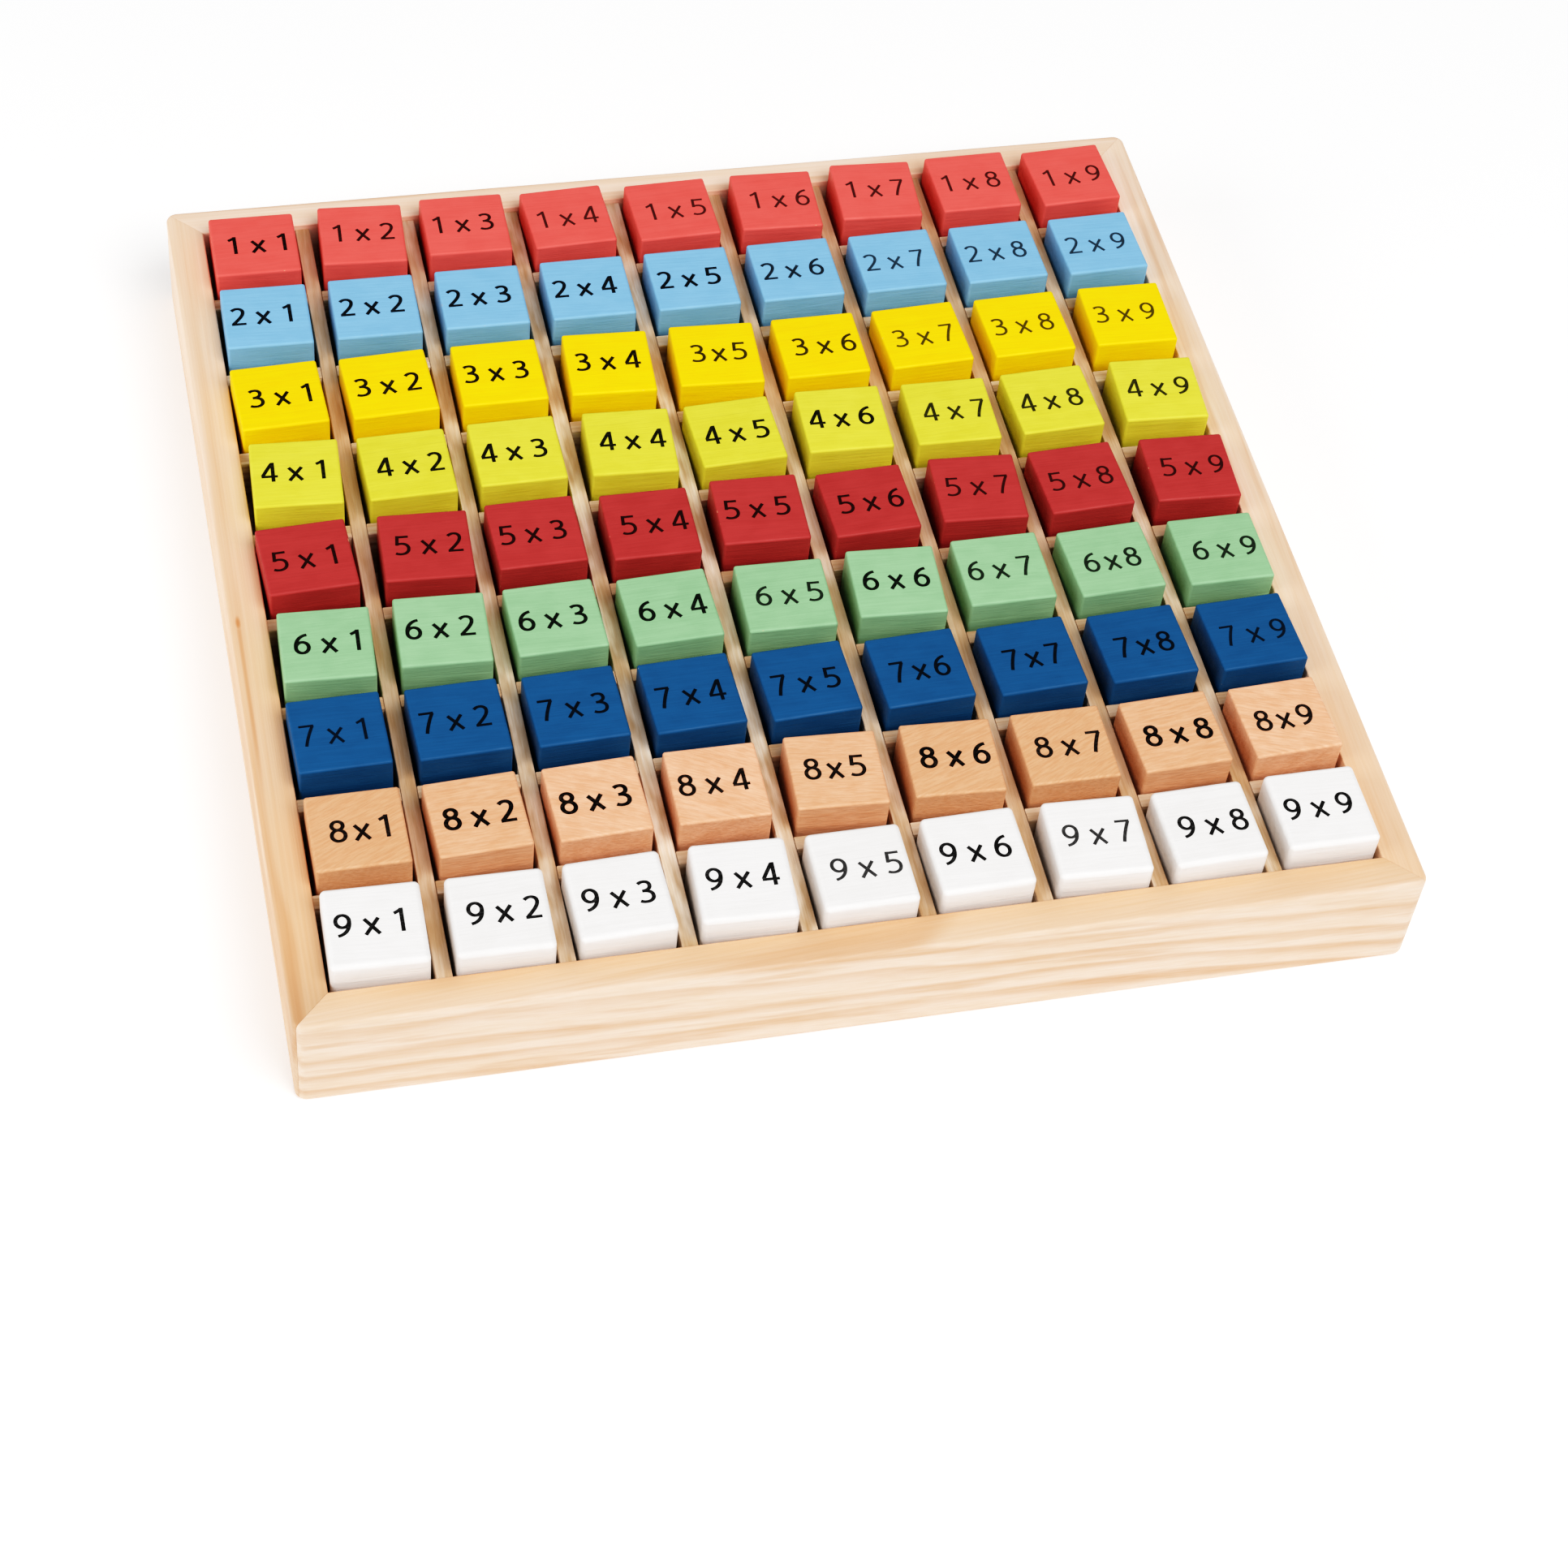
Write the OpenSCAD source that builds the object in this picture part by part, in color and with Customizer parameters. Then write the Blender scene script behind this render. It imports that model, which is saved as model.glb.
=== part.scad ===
// Multiplication board: a square wooden tray, divided into 81 cells by two
// sets of halved slats, with a painted block in each cell. The block in row
// r and column c has the sum "r x c" printed on its top.
// X runs to the right along a row, Y to the back, Z up. The origin is the
// centre of the tray on the table. Row 1 is at the back, column 1 at the left.

/* [Blocks] */
// Width and depth of a block
block_w = 19.5; // [18:0.5:30]
// Height of a block
block_h = 19.5; // [14:0.5:30]
// Cut along every edge of a block
block_edge = 0.6; // [0.2:0.1:1.5]
// The same on the white blocks, whose thick paint softens their edges
white_edge = 1.2; // [0.2:0.1:1.5]
// How much wider that paint makes a white block
white_more = 0.5; // [0:0.1:0.5]
// Spare room for a block in its cell, both sides together
play = 2; // [0.8:0.1:3]

/* [Slats] */
// Thickness of a slat
slat_t = 3.4; // [2:0.1:6]
// Height of a slat above the base panel
slat_h = 12.7; // [8:0.1:14]
// Clearance in the halved joints, both sides together
lap_gap = 0.1; // [0.05:0.05:0.3]

/* [Frame] */
// Width of a frame bar, seen from above
bar_w = 8; // [6:0.5:16]
// Height of a frame bar
bar_h = 25.5; // [25:0.5:40]
// Rounding of the frame's outer edges
bar_round = 1; // [0.3:0.1:2]
// Rounding of the frame's four upright corners
corner_round = 2.5; // [0.5:0.1:3]

/* [Base panel] */
// Thickness of the base panel
panel_t = 4.5; // [3:0.5:6]
// Height of the groove for the panel above the table
groove_up = 7; // [4:0.5:8]
// Depth of that groove in the frame bars
groove_deep = 3; // [2:0.5:4]
// Clearance over the panel in the groove, and at each of its edges
panel_gap = 0.2; // [0.1:0.05:0.5]

/* [Print] */
// Height of a numeral
digit_h = 5.7; // [4:0.1:7]
// Width of a numeral
digit_w = 3.6; // [2.6:0.1:3.8]
// Width of the strokes
stroke = 0.85; // [0.5:0.05:0.95]
// Width of the cross between the numerals
cross_w = 2.8; // [2:0.1:3.2]
// Height of the cross
cross_h = 3.9; // [2.5:0.1:4.5]
// Space between a numeral and the cross
letter_gap = 2.5; // [1:0.1:2.8]
// The same in the few sums that are set closer
tight_gap = 1.6; // [0.8:0.1:2]
// How far a sum may lie off the middle of its block
print_shift = 0.8; // [0:0.1:1.2]
// Thickness of the print on the wood
print_t = 0.15; // [0.1:0.05:0.3]

/* [Hidden] */
rows = [1:9];
row_count = 9;
mid = (row_count + 1) / 2;

cell = block_w + play;
pitch = cell + slat_t;
inside = row_count * cell + (row_count - 1) * slat_t;
outside = inside + 2 * bar_w;
floor_z = groove_up + panel_t;
block_top = floor_z + block_h;

// Each block lies a little askew: its shift and its turn share out its spare room
shift_share = 0.22;
turn_share = 0.25;

// Row and column of the sums that are set closer
tight_sums = [[3, 5], [6, 8], [7, 6], [7, 7], [7, 8], [8, 1], [8, 5], [8, 9]];
// A sum lies less far off the middle to the back and front than to the sides
print_up_share = 0.6;
// The row of the white blocks
white_row = 9;
// Corners of the numerals, and the two edges of their middle stroke
corner_cut = 0.75 * stroke;
waist_low = (digit_h - stroke) / 2;
waist_high = (digit_h + stroke) / 2;

pine = [0.93, 0.80, 0.62];
tan_wood = [0.83, 0.65, 0.44];
ply_wood = [0.87, 0.74, 0.55];
ink = [0.08, 0.07, 0.07];
row_paint = [
  [0.88, 0.27, 0.24], [0.45, 0.70, 0.85], [0.98, 0.84, 0.05],
  [0.78, 0.82, 0.15], [0.62, 0.12, 0.13], [0.52, 0.76, 0.54],
  [0.09, 0.27, 0.50], [0.86, 0.69, 0.48], [0.93, 0.93, 0.92]
];

// Centre of a column along X, and of a row along Y
function column_x(c) = (c - mid) * pitch;
function row_y(r) = (mid - r) * pitch;
// A number from -1 to 1 that scatters with row, column and a seed
function scatter(r, c, seed) = sin(r * 137 + c * 211 + seed * 97 + r * c * 71);
// Whether a sum is one of those that are set closer
function is_tight(r, c) = len([for (t = tight_sums) if (t == [r, c]) t]) > 0;
// Space between the characters of a sum
function gap_of(r, c) = is_tight(r, c) ? tight_gap : letter_gap;
// How far a sum lies off the middle of its block
function print_x(r, c) = print_shift * scatter(r, c, 4);
function print_y(r, c) = print_up_share * print_shift * scatter(r, c, 5);
// Width of the blocks of a row, and their spare room
function width_of(r) = r == white_row ? block_w + white_more : block_w;
function spare_of(r) = cell - width_of(r);
// How far a block of a row may be shifted and turned
function shift_room(r) = shift_share * spare_of(r);
function turn_room(r) = asin(2 * turn_share * spare_of(r) / width_of(r));

// The panel that the blocks stand on, held in the frame's groove
module base_panel() {
  w = inside + 2 * (groove_deep - panel_gap);
  color(ply_wood) translate([-w / 2, -w / 2, groove_up]) cube([w, w, panel_t]);
}

// Cross section of a bar, from the tray's outer face inwards
module bar_section() {
  difference() {
    square([bar_w, bar_h]);
    translate([bar_w - groove_deep, groove_up]) square([groove_deep + 1, panel_t + panel_gap]);
    for (top = [0, 1])
      translate([bar_round, top == 1 ? bar_h - bar_round : bar_round])
        edge_waste(bar_round, top);
  }
}

// What is cut off one corner of a square section to round it
module edge_waste(r, top) {
  difference() {
    translate([-r - 1, top == 1 ? 0 : -r - 1]) square(r + 1);
    circle(r = r, $fn = 48);
  }
}

// Outline of the tray from above
module tray_outline() {
  half = outside / 2;
  difference() {
    square(outside, center = true);
    for (turn = [0:90:270])
      rotate(turn)
        translate([-half + corner_round, -half + corner_round])
          edge_waste(corner_round, 0);
  }
}

// One mitred bar, drawn at the front and turned to its own side
module frame_bar(turn) {
  half = outside / 2;
  color(pine)
    rotate(turn)
      intersection() {
        translate([-half, -half, 0])
          rotate([90, 0, 90])
            linear_extrude(outside) bar_section();
        linear_extrude(bar_h)
          polygon([
            [-half, -half], [half, -half],
            [half - bar_w, bar_w - half], [bar_w - half, bar_w - half]
          ]);
        linear_extrude(bar_h) tray_outline();
      }
}

// A slat along X, with a notch at each crossing, from above or from below
module slat(notch_top) {
  notch = slat_t + lap_gap;
  notch_z = floor_z + (notch_top ? slat_h / 2 : -1);
  difference() {
    translate([-inside / 2, -slat_t / 2, floor_z]) cube([inside, slat_t, slat_h]);
    for (i = [1:row_count - 1])
      translate([column_x(i + 0.5) - notch / 2, -slat_t / 2 - 1, notch_z])
        cube([notch, slat_t + 2, slat_h / 2 + 1]);
  }
}

// A slat from front to back, between columns i and i + 1
module long_slat(i) {
  color(tan_wood) translate([column_x(i + 0.5), 0, 0]) rotate(90) slat(false);
}

// A slat from left to right, between rows i and i + 1
module cross_slat(i) {
  color(tan_wood) translate([0, row_y(i + 0.5), 0]) slat(true);
}

// A square with its four corners cut
module cut_square(w, h, cut) {
  x = w / 2;
  polygon([
    [cut - x, 0], [x - cut, 0], [x, cut], [x, h - cut],
    [x - cut, h], [cut - x, h], [-x, h - cut], [-x, cut]
  ]);
}

// A block with that much cut off every edge, standing on Z = 0
module block(w, edge) {
  half = w / 2;
  intersection() {
    translate([0, -half, 0])
      linear_extrude(block_h) cut_square(w, w, edge);
    translate([0, half, 0])
      rotate([90, 0, 0])
        linear_extrude(w) cut_square(w, block_h, edge);
    translate([-half, 0, 0])
      rotate([90, 0, 90])
        linear_extrude(w) cut_square(w, block_h, edge);
  }
}

// Puts what follows in the cell of row r and column c, as its block lies
module in_cell(r, c) {
  translate([
    column_x(c) + shift_room(r) * scatter(r, c, 1),
    row_y(r) + shift_room(r) * scatter(r, c, 2),
    0
  ])
    rotate(turn_room(r) * scatter(r, c, 3))
      children();
}

// The nine blocks of a row
module row_blocks(r) {
  color(row_paint[r - 1])
    for (c = rows)
      in_cell(r, c)
        translate([0, 0, floor_z])
          block(width_of(r), r == white_row ? white_edge : block_edge);
}

// A numeral from 1 to 9, its lower left corner at the origin
module numeral(n) {
  w = digit_w;
  h = digit_h;
  s = stroke;
  k = corner_cut;
  low = waist_low;
  high = waist_high;
  if (n == 1)
    translate([0.65 * w, 0])
      polygon([
        [-s, 0], [0, 0], [0, h], [-0.8 * s, h],
        [-2.3 * s, h - 1.1 * s], [-2.3 * s, h - 2 * s], [-s, h - 1.2 * s]
      ]);
  if (n == 2)
    polygon([
      [0, 0], [w, 0], [w, s], [1.5 * s, s], [w, high], [w, h - k], [w - k, h], [k, h],
      [0, h - k], [0, h - 1.7 * s], [s, h - 1.7 * s], [s, h - s], [w - s, h - s], [w - s, high], [0, s]
    ]);
  if (n == 3)
    polygon([
      [0, 0], [w - k, 0], [w, k], [w, h - k], [w - k, h], [0, h], [0, h - s], [w - s, h - s],
      [w - s, high], [0.3 * w, high], [0.3 * w, low], [w - s, low], [w - s, s], [0, s]
    ]);
  if (n == 4) {
    x = w - 0.6 * s;
    y = 1.5 * s;
    difference() {
      polygon([
        [x - s, 0], [x, 0], [x, y], [w, y], [w, y + s], [x, y + s],
        [x, h], [x - 1.3 * s, h], [0, y + s], [0, y], [x - s, y]
      ]);
      polygon([[1.2 * s, y + s], [x - s, y + s], [x - s, h - 1.4 * s]]);
    }
  }
  if (n == 5)
    polygon([
      [0, 0], [w - k, 0], [w, k], [w, high - k], [w - k, high], [s, high], [s, h - s],
      [w, h - s], [w, h], [0, h], [0, low], [w - s, low], [w - s, s], [0, s]
    ]);
  if (n == 6)
    difference() {
      polygon([
        [k, 0], [w - k, 0], [w, k], [w, high - k], [w - k, high], [s, high], [s, h - s],
        [w - k, h - s], [w - k, h], [k, h], [0, h - k], [0, k]
      ]);
      translate([s, s]) square([w - 2 * s, low - s]);
    }
  if (n == 7)
    polygon([
      [0.2 * w, 0], [0.2 * w + s, 0], [w, h - s], [w, h],
      [0, h], [0, h - s], [w - 1.1 * s, h - s]
    ]);
  if (n == 8)
    difference() {
      translate([w / 2, 0]) cut_square(w, h, k);
      translate([s, s]) square([w - 2 * s, low - s]);
      translate([s, high]) square([w - 2 * s, low - s]);
    }
  if (n == 9)
    translate([w, h]) rotate(180) numeral(6);
}

// The cross between the two numerals
module cross() {
  x = cross_w / 2;
  y = cross_h / 2;
  t = 0.6 * stroke;
  translate([x, y])
    polygon([
      [-x, -y], [2 * t - x, -y], [0, -1.5 * t], [x - 2 * t, -y], [x, -y], [t, 0],
      [x, y], [x - 2 * t, y], [0, 1.5 * t], [2 * t - x, y], [-x, y], [-t, 0]
    ]);
}

// The sum "r x c", centred on the origin
module sum_print(r, c) {
  cross_x = digit_w + gap_of(r, c);
  last_x = cross_x + cross_w + gap_of(r, c);
  translate([-(last_x + digit_w) / 2, -digit_h / 2]) {
    numeral(r);
    translate([cross_x, 0]) cross();
    translate([last_x, 0]) numeral(c);
  }
}

// The sums on the nine blocks of a row
module row_sums(r) {
  color(ink)
    for (c = rows)
      in_cell(r, c)
        translate([print_x(r, c), print_y(r, c), block_top])
          linear_extrude(print_t) sum_print(r, c);
}

base_panel();
frame_bar(0);  // frame_front
frame_bar(90);  // frame_right
frame_bar(180);  // frame_back
frame_bar(270);  // frame_left
for (i = [1:8]) {
  long_slat(i);
  cross_slat(i);
}
for (r = rows) {
  row_blocks(r);
  row_sums(r);
}
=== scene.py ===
import math

import bpy
import numpy as np
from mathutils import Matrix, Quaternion, Vector
from mathutils.geometry import delaunay_2d_cdt


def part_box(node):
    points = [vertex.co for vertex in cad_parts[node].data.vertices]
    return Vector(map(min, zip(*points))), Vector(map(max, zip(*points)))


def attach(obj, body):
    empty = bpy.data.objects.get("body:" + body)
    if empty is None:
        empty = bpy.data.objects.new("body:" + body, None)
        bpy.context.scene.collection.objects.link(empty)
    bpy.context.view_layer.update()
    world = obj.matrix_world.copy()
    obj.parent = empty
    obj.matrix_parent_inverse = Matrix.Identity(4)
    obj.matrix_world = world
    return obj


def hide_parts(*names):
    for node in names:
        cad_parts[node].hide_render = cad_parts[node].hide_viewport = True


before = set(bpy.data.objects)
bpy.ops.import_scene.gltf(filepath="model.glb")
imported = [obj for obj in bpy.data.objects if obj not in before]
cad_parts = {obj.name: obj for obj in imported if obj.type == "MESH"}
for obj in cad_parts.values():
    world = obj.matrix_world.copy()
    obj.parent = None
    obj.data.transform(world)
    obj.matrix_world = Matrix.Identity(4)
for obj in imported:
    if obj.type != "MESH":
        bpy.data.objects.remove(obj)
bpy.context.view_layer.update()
scene = bpy.context.scene
print("frame loaded:", len(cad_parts), "nodes")

mm = 0.001
rowCount = 9
factors = range(1, rowCount + 1)  # the rows from the back, and the columns from the left

# camera and light

cameraView = {
    "place": (-0.1503, -0.49834, 0.5784),
    "aim": (-0.00732, -0.06443, 0.015),
    "lens": 78.19,
    "roll": -7.557,  # degrees
}
studio = {
    "skyStrength": 0.33,
    "keyPlace": (0.32, -0.62, 1.05),
    "keySize": 0.8,
    "keyPower": 9.6,
    "fillPlace": (-1.0, -0.2, 0.48),
    "fillSize": 0.7,
    "fillPower": 4.6,
    "floorSize": 8.0,
    "floorColour": (0.94, 0.94, 0.94, 1),
    "floorRoughness": 0.9,
    "floorSpecular": 0.1,
    "floorGlow": 0.215,  # the paper is lit from below, as on a light table
    "contrast": 1.7,
    "shoulder": 0.35,
    "curveStops": (0.03, 0.07, 0.12, 0.2, 0.3, 0.42, 0.57, 0.76),
}


def addCamera():
    data = bpy.data.cameras.new("camera")
    data.lens = cameraView["lens"]
    camera = bpy.data.objects.new("camera", data)
    scene.collection.objects.link(camera)
    place = Vector(cameraView["place"])
    look = (Vector(cameraView["aim"]) - place).to_track_quat("-Z", "Y")
    roll = Quaternion((0, 0, 1), math.radians(-cameraView["roll"]))
    camera.location = place
    camera.rotation_euler = (look @ roll).to_euler()
    scene.camera = camera


def addSoftLight(name, place, size, power):
    data = bpy.data.lights.new(name, "AREA")
    data.shape = "SQUARE"
    data.size = size
    data.energy = power
    light = bpy.data.objects.new(name, data)
    scene.collection.objects.link(light)
    light.location = place
    light.rotation_euler = (-Vector(place)).to_track_quat("-Z", "Y").to_euler()


def setToneCurve():
    # the photograph's contrast: (1 + s) v / (v + s), where v is light to the power of the contrast
    # and s is the shoulder
    view = scene.view_settings
    view.view_transform = "Standard"
    view.use_curve_mapping = True
    toneCurve = view.curve_mapping.curves[3]
    shoulder = studio["shoulder"]
    for light in studio["curveStops"]:
        value = light ** studio["contrast"]
        toneCurve.points.new(light, (1 + shoulder) * value / (value + shoulder))
    view.curve_mapping.update()


def addSky():
    world = bpy.data.worlds.new("sky")
    scene.world = world
    world.use_nodes = True
    sky = world.node_tree.nodes["Background"]
    sky.inputs["Color"].default_value = (1, 1, 1, 1)
    sky.inputs["Strength"].default_value = studio["skyStrength"]


def addFloor():
    side = studio["floorSize"] / 2
    mesh = bpy.data.meshes.new("floor")
    corners = [(-side, -side, 0), (side, -side, 0), (side, side, 0), (-side, side, 0)]
    mesh.from_pydata(corners, [], [(0, 1, 2, 3)])
    floor = bpy.data.objects.new("floor", mesh)
    scene.collection.objects.link(floor)
    material = bpy.data.materials.new("floorPaper")
    material.use_nodes = True
    shader = material.node_tree.nodes["Principled BSDF"]
    shader.inputs["Base Color"].default_value = studio["floorColour"]
    shader.inputs["Roughness"].default_value = studio["floorRoughness"]
    shader.inputs["Specular IOR Level"].default_value = studio["floorSpecular"]
    shader.inputs["Emission Color"].default_value = (1, 1, 1, 1)
    shader.inputs["Emission Strength"].default_value = studio["floorGlow"]
    mesh.materials.append(material)


addCamera()
setToneCurve()
addSky()
addSoftLight("keyLight", studio["keyPlace"], studio["keySize"], studio["keyPower"])
addSoftLight("fillLight", studio["fillPlace"], studio["fillSize"], studio["fillPower"])
addFloor()
print("camera, lights and floor placed")

# shader helpers


def linear(red, green, blue):
    # screen colour from 0 to 255 to the linear colour that a shader takes
    share = np.array([red, green, blue]) / 255
    light = np.where(share <= 0.04045, share / 12.92, ((share + 0.055) / 1.055) ** 2.4)
    return (*light.tolist(), 1)


def feed(tree, socket, value):
    if isinstance(value, bpy.types.NodeSocket):
        tree.links.new(value, socket)
    else:
        socket.default_value = value


def calc(tree, operation, *values):
    node = tree.nodes.new("ShaderNodeMath")
    node.operation = operation
    for socket, value in zip(node.inputs, values):
        feed(tree, socket, value)
    return node.outputs[0]


def calcVector(tree, operation, *values):
    node = tree.nodes.new("ShaderNodeVectorMath")
    node.operation = operation
    for socket, value in zip(node.inputs, values):
        feed(tree, socket, value)
    return node.outputs["Value" if operation == "LENGTH" else "Vector"]


def scaleVector(tree, vector, factor):
    node = tree.nodes.new("ShaderNodeVectorMath")
    node.operation = "SCALE"
    feed(tree, node.inputs["Vector"], vector)
    feed(tree, node.inputs["Scale"], factor)
    return node.outputs["Vector"]


def smooth(tree, value, low, high, start=0.0, end=1.0):
    node = tree.nodes.new("ShaderNodeMapRange")
    node.interpolation_type = "SMOOTHSTEP"
    for index, number in enumerate((value, low, high, start, end)):
        feed(tree, node.inputs[index], number)
    return node.outputs[0]


def noise(tree, place, stretch, detail=2.0, roughness=0.5):
    # noise whose grain is 1 / stretch metres long in each direction
    node = tree.nodes.new("ShaderNodeTexNoise")
    feed(tree, node.inputs["Vector"], calcVector(tree, "MULTIPLY", place, stretch))
    node.inputs["Scale"].default_value = 1.0
    node.inputs["Detail"].default_value = detail
    node.inputs["Roughness"].default_value = roughness
    return node


def mixColour(tree, factor, first, second, blend="MIX"):
    node = tree.nodes.new("ShaderNodeMix")
    node.data_type = "RGBA"
    node.blend_type = blend
    for index, value in ((0, factor), (6, first), (7, second)):
        feed(tree, node.inputs[index], value)
    return node.outputs[2]


def newGroup(name, inputs, outputs):
    kinds = {"value": "NodeSocketFloat", "vector": "NodeSocketVector", "colour": "NodeSocketColor"}
    tree = bpy.data.node_groups.new(name, "ShaderNodeTree")
    for label, kind in inputs.items():
        tree.interface.new_socket(name=label, in_out="INPUT", socket_type=kinds[kind])
    for label, kind in outputs.items():
        tree.interface.new_socket(name=label, in_out="OUTPUT", socket_type=kinds[kind])
    return tree, tree.nodes.new("NodeGroupInput").outputs, tree.nodes.new("NodeGroupOutput").inputs


def useGroup(tree, group, values):
    node = tree.nodes.new("ShaderNodeGroup")
    node.node_tree = group
    for label, value in values.items():
        feed(tree, node.inputs[label], value)
    return node.outputs


def attribute(tree, name, output):
    node = tree.nodes.new("ShaderNodeAttribute")
    node.attribute_name = name
    return node.outputs[output]


def newMaterial(name):
    material = bpy.data.materials.new(name)
    material.use_nodes = True
    return material, material.node_tree, material.node_tree.nodes["Principled BSDF"]


def addBump(tree, shader, height, distance):
    bump = tree.nodes.new("ShaderNodeBump")
    bump.inputs["Distance"].default_value = distance
    feed(tree, bump.inputs["Height"], height)
    tree.links.new(bump.outputs["Normal"], shader.inputs["Normal"])


# shared effects

grainLook = {  # waves to the metre along X, Y and Z, and the ends of each smooth step
    "drift": (9, 40, 40),
    "fibres": (60, 1900, 1900),
    "fibreDetail": (3.0, 0.6),  # how many finer layers, and how strong each is
    "fibreEdge": (0.3, 0.7),
    "patches": (55, 260, 260),
    "patchEdge": (0.32, 0.68),
    "ringRise": (0.28, 0.76),
    "ringFall": (0.8, 0.98),
    "ringStrength": (14, 90, 90),
    "strengthEdge": (0.3, 0.62),
    "weakest": 0.45,
}


def buildWoodGrain():
    # year rings are cylinders about the X axis of Place, pushed about by slow noise;
    # fibres and patches are noise drawn out along X, by Length
    look = grainLook
    tree, given, result = newGroup(
        "woodGrain",
        {"Place": "vector", "Spacing": "value", "Wander": "value", "Length": "value"},
        {"Rings": "value", "Fibres": "value", "Patches": "value"},
    )
    shrink = tree.nodes.new("ShaderNodeCombineXYZ")
    for index, number in enumerate((calc(tree, "DIVIDE", 1.0, given["Length"]), 1.0, 1.0)):
        feed(tree, shrink.inputs[index], number)
    drawn = calcVector(tree, "MULTIPLY", given["Place"], shrink.outputs[0])
    drift = noise(tree, given["Place"], look["drift"]).outputs["Color"]
    centred = calcVector(tree, "SUBTRACT", drift, (0.5, 0.5, 0.5))
    moved = calcVector(tree, "ADD", given["Place"], scaleVector(tree, centred, given["Wander"]))
    radius = calcVector(tree, "LENGTH", calcVector(tree, "MULTIPLY", moved, (0, 1, 1)))
    phase = calc(tree, "FRACT", calc(tree, "DIVIDE", radius, given["Spacing"]))
    rise = smooth(tree, phase, *look["ringRise"])
    fall = smooth(tree, phase, *look["ringFall"], 1.0, 0.0)
    strength = noise(tree, given["Place"], look["ringStrength"]).outputs["Fac"]
    strength = smooth(tree, strength, *look["strengthEdge"], look["weakest"], 1.0)
    rings = calc(tree, "MULTIPLY", calc(tree, "MULTIPLY", rise, fall), strength)
    fibres = noise(tree, drawn, look["fibres"], *look["fibreDetail"]).outputs["Fac"]
    patches = noise(tree, drawn, look["patches"]).outputs["Fac"]
    feed(tree, result["Rings"], rings)
    feed(tree, result["Fibres"], smooth(tree, fibres, *look["fibreEdge"]))
    feed(tree, result["Patches"], smooth(tree, patches, *look["patchEdge"]))
    return tree


skinLook = {
    "spacing": 2.6 * mm,
    "wander": 9 * mm,
    "length": 0.6,
    "clouds": (160, 260, 260),
    "cloudDetail": 3.0,
    "cloudEdge": (0.35, 0.7),
    "cloudShare": 0.4,
    "fibreShare": 0.3,
    "toneShare": 0.3,
    "spots": (380, 520, 520),
    "spotEdge": (0.7, 0.76),
    "wornEdge": (0.6, 0.95),  # how far round a block's edge the wear starts and is full
    "roughness": (0.42, 0.56),
    "roughnessEdge": (0.3, 0.7),
    "ringRelief": 0.8,  # heights as shares of a fibre's
    "wornDepth": 1.5,
}


def buildPaintSkin(woodGrain):
    # paint over wood: the colour clouds a little, the fibres stand up through it,
    # and it is worn through at a few spots of the edges
    tree, given, result = newGroup(
        "paintSkin",
        {"Place": "vector", "Edge": "value", "Tone": "value", "Paint": "colour", "Deep": "colour",
         "Wood": "colour", "Wear": "value"},
        {"Colour": "colour", "Roughness": "value", "Height": "value"},
    )
    look = skinLook
    grain = useGroup(tree, woodGrain, {"Place": given["Place"], "Spacing": look["spacing"],
                                       "Wander": look["wander"], "Length": look["length"]})
    clouds = noise(tree, given["Place"], look["clouds"], look["cloudDetail"]).outputs["Fac"]
    depth = calc(tree, "ADD", smooth(tree, clouds, *look["cloudEdge"], 0.0, look["cloudShare"]),
                 calc(tree, "MULTIPLY", grain["Fibres"], look["fibreShare"]))
    depth = calc(tree, "ADD", depth, calc(tree, "MULTIPLY", given["Tone"], look["toneShare"]))
    painted = mixColour(tree, depth, given["Paint"], given["Deep"])
    spots = noise(tree, given["Place"], look["spots"]).outputs["Fac"]
    bare = calc(tree, "MULTIPLY", smooth(tree, spots, *look["spotEdge"]),
                smooth(tree, given["Edge"], *look["wornEdge"]))
    bare = calc(tree, "MULTIPLY", bare, given["Wear"])
    feed(tree, result["Colour"], mixColour(tree, bare, painted, given["Wood"]))
    feed(tree, result["Roughness"], smooth(tree, clouds, *look["roughnessEdge"], *look["roughness"]))
    ridges = calc(tree, "ADD", grain["Fibres"], calc(tree, "MULTIPLY", grain["Rings"], look["ringRelief"]))
    hollows = calc(tree, "MULTIPLY", bare, look["wornDepth"])
    feed(tree, result["Height"], calc(tree, "SUBTRACT", ridges, hollows))
    return tree


woodGrain = buildWoodGrain()
paintSkin = buildPaintSkin(woodGrain)

# woods

knot = {
    "place": (1.722, 0.0504, 0.0),  # in the left bar's grain, near its outer edge
    "size": (2.4 * mm, 0.7 * mm, 4 * mm),
    "coreEdge": (0.2, 1.1),  # edges are in sizes from its middle
    "coreStrength": 0.8,
    "streakSide": (0.2, 1.0),
    "streakDepth": (0.3, 1.0),
    "streakFade": (10.0, 24.0),
    "streakStrength": 0.4,
}
woodFinish = {
    "specular": 0.4,
    "roughnessSpread": 0.06,
    "ringRelief": 0.6,  # height of a ring as a share of a fibre's
}


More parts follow.
